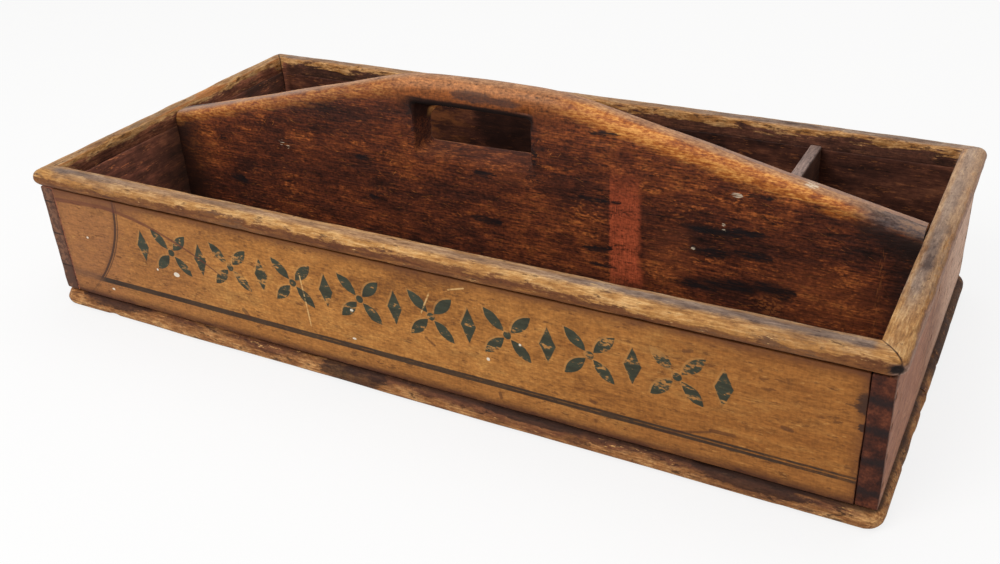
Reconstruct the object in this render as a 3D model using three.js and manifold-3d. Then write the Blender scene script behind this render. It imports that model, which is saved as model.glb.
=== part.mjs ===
// Wooden tote box: an open nailed pine tray with an arched handle board
//
// Millimetres, +Z up. The origin is on the floor, under the middle of the box.
// +X runs along the box to its right end, and -Y is the painted front.
//
// Four side boards stand on a base of two planks. A mitred rim with a rounded nosing
// caps them. The handle board stands on the base along the middle, from end to end,
// and one short divider crosses the space behind it. Every joint is nailed.

import * as THREE from 'three';
import { mergeVertices } from 'three/addons/utils/BufferGeometryUtils.js';
import Module from 'manifold-3d';

const wasm = await Module();
wasm.setup();

// Box
const boxLength = 730;
const boxWidth = 340;
const wall = 15;
const boardHeight = 103;
const arris = 0.8;

// Base planks
const baseThickness = 17;
const baseOverhang = 5.5;
const baseCorner = 14;
const baseNosing = 6.8;
const plankJointY = -20;
const plankGap = 0.4;

// Rim
const rimThickness = 17;
const rimOverhang = 6;
const rimCorner = 10;
const rimInnerRound = 2;
const rimInnerCorner = 0.5;
const mitreGap = 0.3;

// Handle board
const handleThickness = 23;
const handleCrest = 68;
const handleLeftEnd = -3;
const handleRightEnd = 3;
const handleShoulderLeft = -69;
const handleShoulderRight = 66;
const handleBend = 30;
const handleRoundAtEnds = 7;
const handleRoundAtGrip = 11;

// Hand hole. Its top and its floor, which rises towards the back, count from the rim's top.
const holeLeft = -70;
const holeRight = 41;
const holeTop = 41.5;
const holeFloorFront = -1;
const holeFloorBack = 5;
const holeCorner = 5;
const holeEase = 1.2;
const gripEase = 7;

// Rear divider
const dividerX = 234;
const dividerThickness = 10;
const dividerHeight = 106;

// Cut nails: a shank that tapers on two sides, under a flat head
const nailLength = 50;
const rimNailLength = 38;
const nailTip = 1.6;
const nailRoot = 3.4;
const nailThick = 2.2;
const nailHead = 5.4;
const nailHeadThick = 1.6;
const nailHeadTop = 0.8;
const nailSunk = 0.5;
const baseNailSunk = 1;
const nailClearance = 0.15;

// Where the nails go: up a joint as shares of the boards' height, along it as distances
const cornerNailShares = [0.16, 0.38, 0.61, 0.83];
const handleNailShares = [0.32, 0.72];
const dividerNailShares = [0.39, 0.77];
const baseNailXs = [-270, -90, 90, 270];
const handleBaseNailXs = [-180, 180];
const rimNailXs = [-250, 0, 250];
const endNailYs = [-88, 88];

// Worked out from the sizes above
const halfLength = boxLength / 2;
const halfWidth = boxWidth / 2;
const innerX = halfLength - wall;
const innerY = halfWidth - wall;
const baseTop = baseThickness;
const boardTop = baseTop + boardHeight;
const rimTop = boardTop + rimThickness;
const rimWidth = wall + rimOverhang;
const boardMid = wall / 2;

// Bare wood, worn paint and old iron
const finish = {
  frontPaint: { color: 0x94652f, roughness: 0.62, metalness: 0 },
  sidePaint: { color: 0x80573e, roughness: 0.7, metalness: 0 },
  rimWood: { color: 0x7a5738, roughness: 0.66, metalness: 0 },
  handleWood: { color: 0x54290f, roughness: 0.5, metalness: 0 },
  dividerWood: { color: 0x5c4a45, roughness: 0.75, metalness: 0 },
  baseWood: { color: 0x6e4a28, roughness: 0.7, metalness: 0 },
  iron: { color: 0x2a211d, roughness: 0.8, metalness: 0.6 },
};

const tote = new THREE.Group();
const nails = [];

function addMesh(name, geometry, look) {
  const mesh = new THREE.Mesh(geometry, new THREE.MeshStandardMaterial({ ...look, flatShading: true }));
  mesh.name = name;
  tote.add(mesh);
  return mesh;
}

// Solids and meshes

function toSolid(geometry) {
  const bare = geometry.clone();
  bare.deleteAttribute('normal');
  bare.deleteAttribute('uv');
  const merged = mergeVertices(bare);
  return new wasm.Manifold(new wasm.Mesh({
    numProp: 3,
    vertProperties: new Float32Array(merged.attributes.position.array),
    triVerts: new Uint32Array(merged.index.array),
  }));
}

function toGeometry(solid) {
  const mesh = solid.getMesh();
  const geometry = new THREE.BufferGeometry();
  geometry.setAttribute('position', new THREE.BufferAttribute(new Float32Array(mesh.vertProperties), 3));
  geometry.setIndex(new THREE.BufferAttribute(new Uint32Array(mesh.triVerts), 1));
  return geometry;
}

function signedVolume(points, index) {
  let volume = 0;
  for (let i = 0; i < index.length; i += 3) {
    const [a, b, c] = [points[index[i]], points[index[i + 1]], points[index[i + 2]]];
    volume += new THREE.Vector3().crossVectors(b, c).dot(a) / 6;
  }
  return volume;
}

// Joins outlines of equal point counts into one skin. It closes on itself as a ring,
// or its two end outlines, which are convex, are capped.
function loft(outlines, isRing = false) {
  const count = outlines[0].length;
  const points = outlines.flat();
  const index = [];
  const spans = isRing ? outlines.length : outlines.length - 1;
  for (let span = 0; span < spans; span += 1) {
    const near = span * count;
    const far = ((span + 1) % outlines.length) * count;
    for (let i = 0; i < count; i += 1) {
      const next = (i + 1) % count;
      index.push(near + i, near + next, far + next, near + i, far + next, far + i);
    }
  }
  if (!isRing) {
    const last = (outlines.length - 1) * count;
    for (let i = 1; i < count - 1; i += 1) {
      index.push(0, i + 1, i, last, last + i, last + i + 1);
    }
  }
  if (signedVolume(points, index) < 0) {
    index.reverse();
  }
  const geometry = new THREE.BufferGeometry().setFromPoints(points);
  geometry.setIndex(index);
  return geometry;
}

// Cuts from a piece the hole of every nail that passes through it
function drilled(name, geometry) {
  let solid = toSolid(geometry);
  for (const nail of nails.filter((each) => each.through.includes(name))) {
    const hole = nailGeometry(nail.length, nailClearance, nail.sunk + 1);
    hole.applyMatrix4(nailPlace(nail));
    solid = solid.subtract(toSolid(hole));
  }
  return toGeometry(solid);
}

// Nails

// A nail along -Z with the top of its head at the origin. As a hole it is wider by the
// clearance all round, and its head runs on upwards to open at the surface.
function nailGeometry(length, clearance = 0, openAbove = 0) {
  const outline = (width, depth, z) => {
    const x = width / 2 + clearance;
    const y = depth / 2 + clearance;
    return [[-x, -y], [x, -y], [x, y], [-x, y]].map(([px, py]) => new THREE.Vector3(px, py, z));
  };
  const top = openAbove ? nailHead : nailHead * nailHeadTop;
  return loft([
    outline(nailTip, nailThick, -length - clearance),
    outline(nailRoot, nailThick, -nailHeadThick),
    outline(nailHead, nailHead, -nailHeadThick),
    outline(top, top, openAbove),
  ]);
}

// Turns a nail from -Z to its own direction and sinks its head below the surface
function nailPlace({ at, into, sunk }) {
  const direction = new THREE.Vector3(...into);
  const turn = new THREE.Quaternion().setFromUnitVectors(new THREE.Vector3(0, 0, -1), direction);
  const head = new THREE.Vector3(...at).addScaledVector(direction, sunk);
  return new THREE.Matrix4().compose(head, turn, new THREE.Vector3(1, 1, 1));
}

function planNail(name, at, into, through, length = nailLength, sunk = nailSunk) {
  nails.push({ name, at, into, through, length, sunk });
}

// Four nails at each corner, through the end board into the end of the long board
function planCornerNails() {
  for (const [endName, side] of [['left', -1], ['right', 1]]) {
    for (const [longName, face] of [['front', -1], ['back', 1]]) {
      cornerNailShares.forEach((share, i) => planNail(
        `corner_nail_${longName}_${endName}_${i + 1}`,
        [side * halfLength, face * (halfWidth - boardMid), baseTop + share * boardHeight],
        [-side, 0, 0],
        [`${endName}_end_board`, `${longName}_board`],
      ));
    }
  }
}

// Two nails through each end board into the end of the handle board
function planHandleNails() {
  for (const [endName, side] of [['left', -1], ['right', 1]]) {
    handleNailShares.forEach((share, i) => planNail(
      `handle_nail_${endName}_${i + 1}`,
      [side * halfLength, 0, baseTop + share * boardHeight],
      [-side, 0, 0],
      [`${endName}_end_board`, 'handle_board'],
    ));
  }
}

// The divider is nailed through the handle board and through the back board
function planDividerNails() {
  dividerNailShares.forEach((share, i) => {
    const z = baseTop + share * boardHeight;
    const front = [dividerX, -handleThickness / 2, z];
    const back = [dividerX, halfWidth, z];
    planNail(`divider_nail_front_${i + 1}`, front, [0, 1, 0], ['handle_board', 'rear_divider']);
    planNail(`divider_nail_back_${i + 1}`, back, [0, -1, 0], ['back_board', 'rear_divider']);
  });
}

// Nails driven up through the base planks into the boards that stand on them
function planBaseNails() {
  const plan = (name, x, y, board) => {
    const plank = y < plankJointY ? 'base_plank_front' : 'base_plank_rear';
    planNail(name, [x, y, 0], [0, 0, 1], [plank, board], nailLength, baseNailSunk);
  };
  baseNailXs.forEach((x, i) => {
    plan(`base_nail_front_${i + 1}`, x, -(halfWidth - boardMid), 'front_board');
    plan(`base_nail_back_${i + 1}`, x, halfWidth - boardMid, 'back_board');
  });
  endNailYs.forEach((y, i) => {
    plan(`base_nail_left_${i + 1}`, -(halfLength - boardMid), y, 'left_end_board');
    plan(`base_nail_right_${i + 1}`, halfLength - boardMid, y, 'right_end_board');
  });
  handleBaseNailXs.forEach((x, i) => plan(`base_nail_handle_${i + 1}`, x, 0, 'handle_board'));
}

// Nails driven down through the rim into the top edges of the boards
function planRimNails() {
  const plan = (name, x, y, rim, board) => {
    planNail(name, [x, y, rimTop], [0, 0, -1], [rim, board], rimNailLength);
  };
  rimNailXs.forEach((x, i) => {
    plan(`rim_nail_front_${i + 1}`, x, -(halfWidth - boardMid), 'rim_front', 'front_board');
    plan(`rim_nail_back_${i + 1}`, x, halfWidth - boardMid, 'rim_back', 'back_board');
  });
  endNailYs.forEach((y, i) => {
    plan(`rim_nail_left_${i + 1}`, -(halfLength - boardMid), y, 'rim_left', 'left_end_board');
    plan(`rim_nail_right_${i + 1}`, halfLength - boardMid, y, 'rim_right', 'right_end_board');
  });
}

function addNails() {
  for (const nail of nails) {
    const mesh = addMesh(nail.name, nailGeometry(nail.length), finish.iron);
    nailPlace(nail).decompose(mesh.position, mesh.quaternion, mesh.scale);
  }
}

// Boards

// A sawn board with eased long edges. Its length lies along X, its thickness along Y
// and its height along Z, from its bottom middle.
function sawnBoard(length, thickness, height) {
  const section = new THREE.Shape();
  const x = thickness / 2 - arris;
  const low = arris;
  const high = height - arris;
  section.absarc(x, low, arris, -Math.PI / 2, 0);
  section.absarc(x, high, arris, 0, Math.PI / 2);
  section.absarc(-x, high, arris, Math.PI / 2, Math.PI);
  section.absarc(-x, low, arris, Math.PI, Math.PI * 1.5);
  const board = new THREE.ExtrudeGeometry(section, { depth: length, bevelEnabled: false, curveSegments: 3 });
  board.translate(0, 0, -length / 2);
  board.rotateX(Math.PI / 2);
  board.rotateZ(Math.PI / 2);
  return board;
}

function addSideBoards() {
  for (const [name, side] of [['front_board', -1], ['back_board', 1]]) {
    const board = sawnBoard(2 * innerX, wall, boardHeight);
    board.translate(0, side * (halfWidth - boardMid), baseTop);
    addMesh(name, drilled(name, board), side < 0 ? finish.frontPaint : finish.sidePaint);
  }
  for (const [name, side] of [['left_end_board', -1], ['right_end_board', 1]]) {
    const board = sawnBoard(boxWidth, wall, boardHeight);
    board.rotateZ(Math.PI / 2);
    board.translate(side * (halfLength - boardMid), 0, baseTop);
    addMesh(name, drilled(name, board), finish.sidePaint);
  }
}

function addDivider() {
  const span = innerY - handleThickness / 2;
  const board = sawnBoard(span, dividerThickness, dividerHeight);
  board.rotateZ(Math.PI / 2);
  board.translate(dividerX, handleThickness / 2 + span / 2, baseTop);
  addMesh('rear_divider', drilled('rear_divider', board), finish.dividerWood);
}

// Outlines seen from above

// A rectangle with round corners, as points at one height
function roundedOutline(halfX, halfY, corner, z, steps = 5) {
  const points = [];
  for (let quarter = 0; quarter < 4; quarter += 1) {
    const signX = quarter === 1 || quarter === 2 ? -1 : 1;
    const signY = quarter >= 2 ? -1 : 1;
    for (let step = 0; step <= steps; step += 1) {
      const angle = (Math.PI / 2) * (quarter + step / steps);
      points.push(new THREE.Vector3(
        signX * (halfX - corner) + corner * Math.cos(angle),
        signY * (halfY - corner) + corner * Math.sin(angle),
        z,
      ));
    }
  }
  return points;
}

// A box between two corners, for cutting
function block(low, high) {
  const size = high.map((value, i) => value - low[i]);
  const box = new THREE.BoxGeometry(...size);
  box.translate(...low.map((value, i) => value + size[i] / 2));
  return toSolid(box);
}

// Base

// The base is one slab with a rounded edge all round, parted along its plank joint
function addBase() {
  const halfX = halfLength + baseOverhang;
  const halfY = halfWidth + baseOverhang;
  const round = baseThickness / 2;
  const steps = 8;
  const layers = [];
  for (let step = 0; step <= steps; step += 1) {
    const angle = Math.PI * (step / steps - 0.5);
    const inset = baseNosing * (1 - Math.cos(angle));
    const z = round * (1 + Math.sin(angle));
    layers.push(roundedOutline(halfX - inset, halfY - inset, baseCorner - inset, z));
  }
  const slab = toSolid(loft(layers));
  const reach = boxLength;
  const front = block([-reach, -reach, -1], [reach, plankJointY - plankGap / 2, baseTop + 1]);
  const rear = block([-reach, plankJointY + plankGap / 2, -1], [reach, reach, baseTop + 1]);
  for (const [name, half] of [['base_plank_front', front], ['base_plank_rear', rear]]) {
    addMesh(name, drilled(name, toGeometry(slab.intersect(half))), finish.baseWood);
  }
}

// Rim

// Cross-section of the rim, as distance out from its inner face and height: an eased
// inner edge, a flat top, a full round nosing and a flat underside
function rimSection() {
  const nose = rimThickness / 2;
  const points = [new THREE.Vector2(0, boardTop)];
  const inner = new THREE.Path();
  inner.absarc(rimInnerRound, rimTop - rimInnerRound, rimInnerRound, Math.PI, Math.PI / 2, true);
  const outer = new THREE.Path();
  outer.absarc(rimWidth - nose, boardTop + nose, nose, Math.PI / 2, -Math.PI / 2, true);
  return points.concat(inner.getPoints(3), outer.getPoints(10));
}

// The rim is swept round the box as one ring, whose corners grow rounder outwards,
// and parted by mitres into four strips
function addRim() {
  const outlines = rimSection().map(({ x: out, y: z }) => roundedOutline(
    innerX + out, innerY + out, THREE.MathUtils.lerp(rimInnerCorner, rimCorner, out / rimWidth), z,
  ));
  const ring = toSolid(loft(outlines, true));
  for (const [name, side] of [['rim_front', -1], ['rim_back', 1]]) {
    const ground = mitreGround(innerX, innerY).map(([along, across]) => [along, side * across]);
    addMesh(name, drilled(name, toGeometry(ring.intersect(prism(ground)))), finish.rimWood);
  }
  for (const [name, side] of [['rim_left', -1], ['rim_right', 1]]) {
    const ground = mitreGround(innerY, innerX).map(([along, across]) => [side * across, along]);
    addMesh(name, drilled(name, toGeometry(ring.intersect(prism(ground)))), finish.rimWood);
  }
}

// The ground that one strip covers between its two mitre lines, as points along and
// across the strip. The lines run at 45 degrees and leave half of the mitre's gap.
function mitreGround(halfAlong, halfAcross) {
  const margin = 1;
  const near = halfAlong - margin - mitreGap / Math.SQRT2;
  const far = halfAlong + rimWidth + margin - mitreGap / Math.SQRT2;
  return [
    [-near, halfAcross - margin],
    [near, halfAcross - margin],
    [far, halfAcross + rimWidth + margin],
    [-far, halfAcross + rimWidth + margin],
  ];
}

// A plan outline raised past the rim's height
function prism(outline) {
  const ring = (z) => outline.map(([x, y]) => new THREE.Vector3(x, y, z));
  return toSolid(loft([ring(boardTop - 1), ring(rimTop + 1)]));
}

// Handle board

// The top edge: straight slopes up from both ends, bent over into a level crest
function handleEdge() {
  const crest = rimTop + handleCrest;
  const leftEnd = new THREE.Vector2(-innerX, rimTop + handleLeftEnd);
  const rightEnd = new THREE.Vector2(innerX, rimTop + handleRightEnd);
  const leftTurn = new THREE.Vector2(handleShoulderLeft, crest);
  const rightTurn = new THREE.Vector2(handleShoulderRight, crest);
  const towards = (from, to) => from.clone().lerp(to, handleBend / from.distanceTo(to));
  const edge = new THREE.Path();
  edge.moveTo(leftEnd.x, leftEnd.y);
  edge.lineTo(...towards(leftTurn, leftEnd));
  edge.quadraticCurveTo(...leftTurn, ...towards(leftTurn, rightTurn));
  edge.lineTo(...towards(rightTurn, leftTurn));
  edge.quadraticCurveTo(...rightTurn, ...towards(rightTurn, rightEnd));
  edge.lineTo(rightEnd.x, rightEnd.y);
  return edge.getPoints(8);
}

// One cross-section of the handle board: square at the foot, rounded over at the top
function handleSection(x, top) {
  const half = handleThickness / 2;
  const rise = THREE.MathUtils.clamp((top - rimTop) / handleCrest, 0, 1);
  const round = THREE.MathUtils.lerp(handleRoundAtEnds, handleRoundAtGrip, rise);
  const section = new THREE.Path();
  section.moveTo(-half, baseTop);
  section.lineTo(half, baseTop);
  section.absarc(half - round, top - round, round, 0, Math.PI / 2);
  section.absarc(-half + round, top - round, round, Math.PI / 2, Math.PI);
  return section.getPoints(6).map((point) => new THREE.Vector3(x, point.x, point.y));
}

// The hand hole, as a cutter along Y. It widens to both faces by quarter rounds: its
// upper edge far over, so that the grip above it is nearly a round bar, the rest a little.
function handHole() {
  const steps = 5;
  const halfDepth = handleThickness / 2;
  const floorSlope = (holeFloorBack - holeFloorFront) / handleThickness;
  const mouth = (y, spread) => {
    const floor = holeFloorFront + (y + halfDepth) * floorSlope;
    const fall = 1 - Math.sqrt(1 - spread * spread);
    const left = holeLeft - holeEase * fall;
    const right = holeRight + holeEase * fall;
    const low = rimTop + floor - holeEase * fall;
    const high = rimTop + holeTop + gripEase * fall;
    return roundedOutline((right - left) / 2, (high - low) / 2, holeCorner, 0)
      .map((point) => new THREE.Vector3((left + right) / 2 + point.x, y, (low + high) / 2 + point.y));
  };
  const widening = [];
  for (let step = 0; step <= steps; step += 1) {
    const spread = step / steps;
    widening.push([halfDepth - gripEase * (1 - spread), spread]);
  }
  widening.push([halfDepth + 1, 1]);
  const front = [...widening].reverse().map(([depth, spread]) => mouth(-depth, spread));
  const back = widening.map(([depth, spread]) => mouth(depth, spread));
  return toSolid(loft([...front, ...back]));
}

function addHandle() {
  const edge = handleEdge();
  const board = toSolid(loft(edge.map(({ x, y }) => handleSection(x, y))));
  addMesh('handle_board', drilled('handle_board', toGeometry(board.subtract(handHole()))), finish.handleWood);
}

planCornerNails();
planHandleNails();
planDividerNails();
planBaseNails();
planRimNails();
addBase();
addSideBoards();
addRim();
addHandle();
addDivider();
addNails();

export default tote;
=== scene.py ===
"""The looks of the wooden tote box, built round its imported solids.

Every wooden solid is replaced by a finer one of the same place and size, worn inwards only:
rounded arrises, dents, chips and open joints. The nails keep their solids.
"""

import itertools
import math
from functools import reduce
from types import SimpleNamespace

import bpy
import numpy as np
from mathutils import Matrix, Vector


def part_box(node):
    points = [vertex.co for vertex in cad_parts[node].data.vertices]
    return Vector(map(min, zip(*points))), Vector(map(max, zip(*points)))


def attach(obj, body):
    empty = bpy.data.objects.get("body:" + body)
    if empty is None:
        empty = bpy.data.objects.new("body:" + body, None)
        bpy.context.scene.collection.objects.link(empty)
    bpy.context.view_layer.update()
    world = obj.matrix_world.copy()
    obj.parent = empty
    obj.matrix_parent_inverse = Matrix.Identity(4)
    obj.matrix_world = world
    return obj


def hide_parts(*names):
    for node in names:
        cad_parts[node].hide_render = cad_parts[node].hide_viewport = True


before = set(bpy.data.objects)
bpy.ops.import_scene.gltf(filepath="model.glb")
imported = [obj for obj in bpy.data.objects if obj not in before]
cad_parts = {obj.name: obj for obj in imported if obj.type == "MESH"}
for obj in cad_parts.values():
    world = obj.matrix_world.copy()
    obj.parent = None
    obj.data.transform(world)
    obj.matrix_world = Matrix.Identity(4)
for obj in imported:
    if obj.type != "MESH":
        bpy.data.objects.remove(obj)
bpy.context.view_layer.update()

MM = 0.001


# Noise and masks on arrays of points

def value_noise(points, seed):
    """A smooth random value from -1 to 1 at each point, one random number per unit cell."""
    cell = np.floor(points).astype(np.int64)
    part = points - cell
    part = part * part * (3 - 2 * part)
    total = np.zeros(len(points))
    for corner in itertools.product((0, 1), repeat=3):
        at = cell + corner
        mixed = at[:, 0] * 73856093 ^ at[:, 1] * 19349663 ^ at[:, 2] * 83492791 ^ seed * 40503
        mixed = (mixed ^ (mixed >> 13)) * 1274126177
        value = ((mixed >> 8) & 0xFFFF) / 32767.5 - 1
        total += value * np.prod(np.where(corner, part, 1 - part), axis=1)
    return total


def rough(points, size, seed, octaves=3):
    """Layered noise whose largest features have the given size in metres, per axis."""
    scaled = points / np.asarray(size)
    total = sum(value_noise(scaled * 2 ** i, seed + i) / 2 ** i for i in range(octaves))
    return total / (2 - 2 ** (1 - octaves))


def ease(value, start, end):
    """0 before start, 1 after end, and smooth between them."""
    t = np.clip((value - start) / (end - start), 0, 1)
    return t * t * (3 - 2 * t)


def spot(points, centre, radii, power=1):
    """A soft ellipsoid mask in millimetres: 1 at the centre and 0 from the radii outwards."""
    reach = np.linalg.norm((points / MM - centre) / radii, axis=1)
    return ease(1 - reach, 0, 1) ** power


# Surfaces as arrays of points and of four-sided faces

def lines(low, high, step, close=(), extra=()):
    """Grid lines from low to high: even steps, closer ones near both ends, and extra ones."""
    count = max(2, round((high - low) / step))
    even = list(np.linspace(low, high, count + 1))
    near = [low + c for c in close] + [high - c for c in close]
    wanted = sorted(near + list(extra) + [low, high])
    spare = 0.35 * min(step, (high - low) / count)
    kept = [v for v in even if min(abs(v - w) for w in wanted) > spare]
    return np.array(sorted(set(np.round(kept + wanted, 7))))


def net(ids, flip=False):
    """The faces between the points of a grid of point numbers."""
    corners = [ids[:-1, :-1], ids[1:, :-1], ids[1:, 1:], ids[:-1, 1:]]
    faces = np.stack([c.ravel() for c in corners], axis=1)
    return faces[:, ::-1] if flip else faces


def box_skin(xs, ys, zs):
    """The skin of a box whose faces are ruled by the given lines."""
    shape = (len(xs), len(ys), len(zs))
    grid = np.stack(np.meshgrid(xs, ys, zs, indexing="ij"), axis=-1)
    skin = np.zeros(shape, bool)
    for axis in range(3):
        side = [slice(None)] * 3
        for end in (0, -1):
            side[axis] = end
            skin[tuple(side)] = True
    ids = np.full(shape, -1)
    ids[skin] = np.arange(skin.sum())
    faces = [
        net(ids[0], True), net(ids[-1]),
        net(ids[:, 0]), net(ids[:, -1], True),
        net(ids[:, :, 0], True), net(ids[:, :, -1]),
    ]
    return grid[skin], np.concatenate(faces)


def unit(vectors):
    """The vectors at length one. Those of no length stay so."""
    return vectors / np.maximum(np.linalg.norm(vectors, axis=1, keepdims=True), 1e-12)


def round_box(points, low, high, radius):
    """Rounds the edges and corners of a box skin by a radius that varies by point."""
    radius = radius[:, None]
    core = np.clip(points, low + radius, high - radius)
    return core + unit(points - core) * radius


def normals_of(points, faces):
    """The outward direction at each point, averaged over the faces that meet there."""
    across = points[faces[:, 2]] - points[faces[:, 0]]
    down = points[faces[:, 3]] - points[faces[:, 1]]
    flat = np.cross(across, down)
    total = np.zeros_like(points)
    for corner in faces.T:
        np.add.at(total, corner, flat)
    return unit(total)


def add_piece(node, points, faces, material, seed, order=(0, 1, 2), caps=(), **values):
    """Makes the worn piece that stands for a CAD node, with values per point for its shader.

    order puts the axis of the grain first, and seed gives each piece a figure of its own.
    """
    values["grain"] = points[:, order] + seed * np.array([1.37, 0.53, 0.71])
    mesh = bpy.data.meshes.new("worn_" + node)
    mesh.from_pydata(points.tolist(), [], [*faces.tolist(), *caps])
    for key, value in values.items():
        kind, field = ("FLOAT_VECTOR", "vector") if value.ndim == 2 else ("FLOAT", "value")
        attribute = mesh.attributes.new(key, kind, "POINT")
        attribute.data.foreach_set(field, value.astype(np.float32).ravel())
    mesh.shade_smooth()
    mesh.set_sharp_from_angle(angle=math.radians(50))
    mesh.materials.append(material)
    piece = bpy.data.objects.new("worn_" + node, mesh)
    bpy.context.scene.collection.objects.link(piece)
    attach(piece, "root")
    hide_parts(node)


def limits(node):
    """A CAD node's lowest and highest corners as arrays."""
    low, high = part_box(node)
    return np.array(low), np.array(high)


def nail_heads(prefixes, axes):
    """The places of the nails with these name beginnings, along the two given axes."""
    places = [
        (sum(limits(name)) / 2)[list(axes)]
        for name in sorted(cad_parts) if prefixes and name.startswith(tuple(prefixes))
    ]
    return np.array(places).reshape(-1, 2)


NAIL_HALF = 2.75 * MM


def nail_lines(places):
    """Grid lines along both sides of each nail's pocket."""
    around = (-NAIL_HALF - 0.2 * MM, -NAIL_HALF, NAIL_HALF, NAIL_HALF + 0.2 * MM)
    return [place + a for place in np.unique(np.round(places, 6)) for a in around]


def pockets(places, heads, depth):
    """How deep each point is let in over a nail's head."""
    sunk = np.zeros(len(places))
    for head in heads:
        sunk[np.all(np.abs(places - head) < NAIL_HALF + 0.05 * MM, axis=1)] = depth
    return sunk


# Boards

CLOSE = (0.5 * MM, 1.0 * MM, 1.6 * MM, 2.4 * MM, 3.6 * MM)


def worn_board(node, material, along, outer, nails=(), arris=1.3 * MM, seed=0):
    """A board with worn arrises, dents along its grain, and pockets for its nails' heads.

    along is the axis of the grain, and outer the axis and side of the face that shows.
    """
    low, high = limits(node)
    face_axis, side = outer
    flat = [axis for axis in range(3) if axis != face_axis]
    heads = nail_heads(nails, flat)
    extra = {axis: nail_lines(heads[:, i]) for i, axis in enumerate(flat)}
    ruled = [lines(low[a], high[a], 3.6 * MM, CLOSE, extra.get(a, [])) for a in range(3)]
    points, faces = box_skin(*ruled)
    depth = np.abs(points[:, face_axis] - (high if side > 0 else low)[face_axis])
    sunk = pockets(points[:, flat], heads, 1.5 * MM) * (depth < 1e-6)
    size = np.full(3, 14 * MM)
    size[along] = 45 * MM
    worn = rough(points, size, seed)
    radius = arris * (1 + 0.75 * worn + 0.6 * ease(rough(points, 25 * MM, seed + 7), 0.25, 0.7))
    points = round_box(points, low, high, np.clip(radius, 0.35 * MM, 3.4 * MM))
    outward = normals_of(points, faces)
    dents = 0.22 * MM * (1 + worn) + 0.5 * MM * ease(rough(points, size * 0.6, seed + 3), 0.45, 0.9)
    points = points - outward * dents[:, None]
    points[:, face_axis] -= side * sunk
    edge = np.sort(np.abs(points - (low + high) / 2) - (high - low) / 2, axis=1)[:, 1]
    add_piece(
        node, points, faces, material, seed,
        [along] + [axis for axis in range(3) if axis != along],
        outside=1 - ease(depth, 1 * MM, 4 * MM),
        cut=ease(np.abs(outward[:, along]), 0.5, 0.8),
        edge=ease(edge, -7 * MM, -0.5 * MM),
    )


# Rims, laid round the inside of the box, whose half length and half width come first

INSIDE = (350 * MM, 155 * MM)
RIM_GAP = 0.07 * MM


def rim_outline(count_top=7, count_nose=17):
    """The rim's cross-section as distances out and up, and how far each point is rolled over.

    The roll counts in metres from the inner top edge, over the top and round the nosing.
    """
    low, high = limits("rim_front")
    thickness = high[2] - low[2]
    width = -INSIDE[1] - low[1]
    nose = thickness / 2
    inner = 2 * MM
    outline = []
    for z in np.linspace(0, thickness - inner, 5)[:-1]:
        outline.append((0, z, z - thickness))
    for angle in np.linspace(math.pi, math.pi / 2, 5):
        out = inner + inner * math.cos(angle)
        up = thickness - inner + inner * math.sin(angle)
        outline.append((out, up, out - inner))
    flat = width - nose - inner
    for share in np.linspace(0, 1, count_top + 1)[1:-1]:
        outline.append((inner + flat * share, thickness, flat * share))
    for angle in np.linspace(math.pi / 2, -math.pi / 2, count_nose):
        roll = flat + nose * (math.pi / 2 - angle)
        outline.append((width - nose + nose * math.cos(angle), nose + nose * math.sin(angle), roll))
    for share in np.linspace(1, 0, 6)[1:-1]:
        outline.append((share * (width - nose), 0, 2 * flat + nose * math.pi - flat * share))
    return np.array(outline)


def rim_sweep(along, side, out, up):
    """The rim's outline at each step along its board, fanned out to the mitres at both ends."""
    corner = (0.5 + 9.5 * out / out.max()) * MM
    straight = INSIDE[along] + out - corner
    base = INSIDE[1 - along] + out - corner
    turns = np.radians([9, 18, 27, 36, 41, 44, 45])
    steps = [(-1, -turn) for turn in turns[::-1]]
    steps += [(place, 0) for place in np.linspace(-1, 1, round(2 * INSIDE[along] / (3 * MM)) + 1)]
    steps += [(1, turn) for turn in turns]
    points = np.zeros((len(steps), len(out), 3))
    for row, (place, turn) in zip(points, steps):
        row[:, along] = straight * place + corner * np.sin(turn)
        row[:, 1 - along] = side * (base + corner * np.cos(turn))
        row[:, 2] = up
    return points


def rim_wear(points, along, roll, seed, wavy, arris):
    """How deep each point of a rim strip is worn: most on the nosing, with chips."""
    size = np.full(3, 11 * MM)
    size[along] = 38 * MM
    nosing = ease(roll, 6 * MM, 14 * MM)
    worn = rough(points, size, seed)
    fine = rough(points, size * 0.35, seed + 5)
    wave = rough(points, 90 * MM, seed + 11, 1)
    depth = 0.35 * MM * (1 + worn) + nosing * (0.55 * MM * (1 + wave) + 0.35 * MM * (1 + fine))
    chips = ease(rough(points, size * 0.7, seed + 17), 0.42, 0.8)
    depth += chips * (0.5 + 1.3 * ease(np.abs(roll - 20 * MM), 0, 9 * MM)) * MM * nosing
    broad = ease(roll, -8 * MM, -1 * MM) * ease(roll, 32 * MM, 24 * MM)
    depth += wavy * MM * broad * (1 + rough(points, 48 * MM, seed + 41, 2))
    inner = ease(np.abs(roll), 8 * MM, 0)
    return depth + arris * MM * inner * (1 + 1.2 * rough(points, 26 * MM, seed + 43, 2))


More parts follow.
